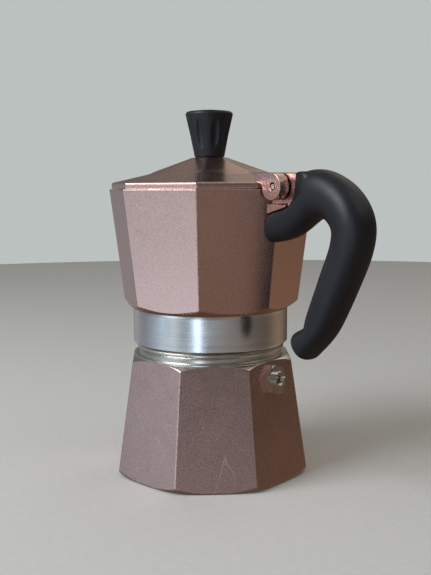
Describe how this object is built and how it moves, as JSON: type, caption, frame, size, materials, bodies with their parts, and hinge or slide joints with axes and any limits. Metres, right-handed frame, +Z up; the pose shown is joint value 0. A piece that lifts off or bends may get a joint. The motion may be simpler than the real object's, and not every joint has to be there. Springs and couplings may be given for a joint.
{
  "type": "moka pot",
  "caption": "Eight-sided stovetop coffee pot whose upper chamber unscrews, with a hinged lid, side handle, pouring spout and a sprung safety valve.",
  "frame": {"origin": "middle of the boiler's flat foot, on the pot's upright axis", "axes": "+Z up, +X towards the handle, -X towards the spout, Y along the lid's hinge pin"},
  "size_m": [0.148, 0.0914, 0.1602],
  "materials": {
    "tinted_metal": "satin rose-tinted anodised, fine grain",
    "plain_aluminium": "machined",
    "bright_nickel": "nickel plated",
    "spring_steel": "plain",
    "brass": "turned",
    "rubber": "matte",
    "black_nylon": "fine matte moulding"
  },
  "bodies": {
    "boiler": {"boiler": "tinted_metal", "valve_body": "bright_nickel", "valve_retainer": "bright_nickel", "valve_spring": "spring_steel", "funnel_basket": "plain_aluminium", "funnel_stem": "plain_aluminium", "funnel_screen": "plain_aluminium"},
    "valve_plunger": {"valve_piston": "bright_nickel", "valve_seal": "rubber"},
    "seal": {"gasket": "rubber", "filter_plate": "plain_aluminium"},
    "collector": {"collector": "tinted_metal", "coffee_column": "plain_aluminium", "handle": "black_nylon", "handle_screw": "spring_steel", "hinge_pin": "spring_steel"},
    "lid": {"lid": "tinted_metal", "knob": "black_nylon", "knob_insert": "brass", "knob_washer": "spring_steel", "knob_screw": "spring_steel"}
  },
  "joints": [
    {"name": "valve_pop", "type": "slide", "parent": "boiler", "child": "valve_plunger", "axis": [0.977, 0.1628, 0.1378], "range_m": [0, 0.0015], "stiffness_N_per_m": 1200, "springref_m": -0.0025, "deforming": ["valve_spring"]},
    {"name": "unscrew_lift", "type": "slide", "parent": "boiler", "child": "seal", "axis": [0, 0, 1], "range_m": [0, 0.00976]},
    {"name": "unscrew_turn", "type": "hinge", "parent": "seal", "child": "collector", "pos_m": [0, 0, 0.06], "axis": [0, 0, 1], "range_deg": [0, 1170]},
    {"name": "lid_hinge", "type": "hinge", "parent": "collector", "child": "lid", "pos_m": [0.0499, 0, 0.1267], "axis": [0, 1, 0], "range_deg": [0, 100]}
  ],
  "couplings": [
    {"joint": "unscrew_lift", "follows": "unscrew_turn", "m_per_rad": 0.00047746}
  ]
}
